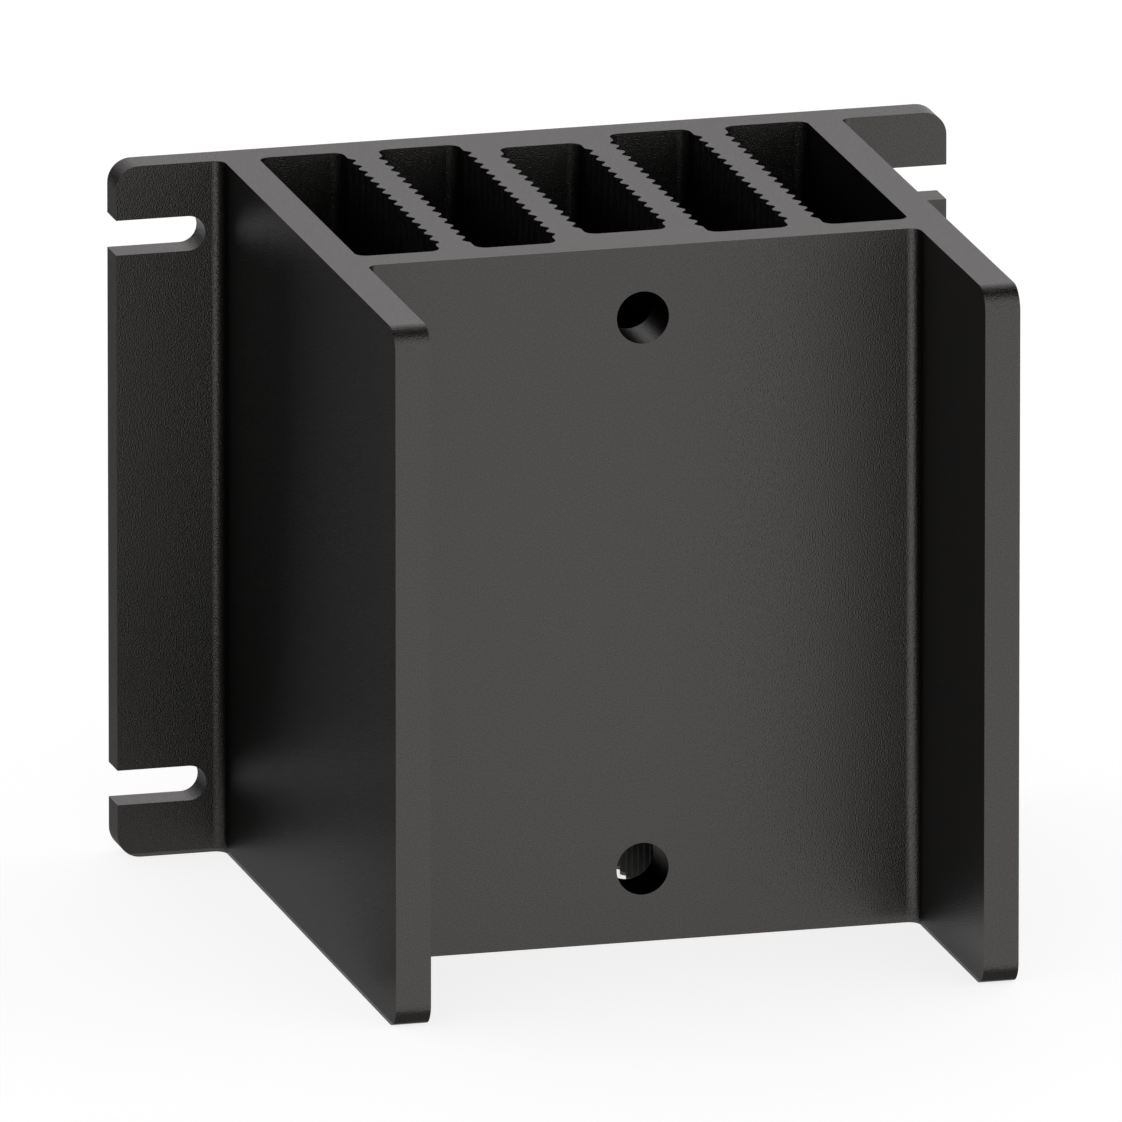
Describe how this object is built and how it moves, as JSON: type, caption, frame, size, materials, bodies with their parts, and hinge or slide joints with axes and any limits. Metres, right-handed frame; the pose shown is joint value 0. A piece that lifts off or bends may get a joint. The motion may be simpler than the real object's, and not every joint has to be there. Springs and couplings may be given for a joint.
{
  "type": "extruded heat sink",
  "caption": "Black anodised aluminium extrusion for a panel relay: slotted rear flange, toothed fins in air cells open at both ends, drilled relay plate and side walls around the relay bay.",
  "frame": {"origin": "centre of the flat rear face that lies against the panel", "axes": "+X across the width, which is the longest side; +Y out of the rear face, into the panel; +Z along the extrusion, upwards as the part hangs, so the relay face looks along -Y"},
  "size_m": [0.072, 0.06, 0.06],
  "materials": {
    "black_anodised_aluminium": "satin black anodised"
  },
  "bodies": {
    "root": {"heat_sink": "black_anodised_aluminium"}
  },
  "joints": []
}
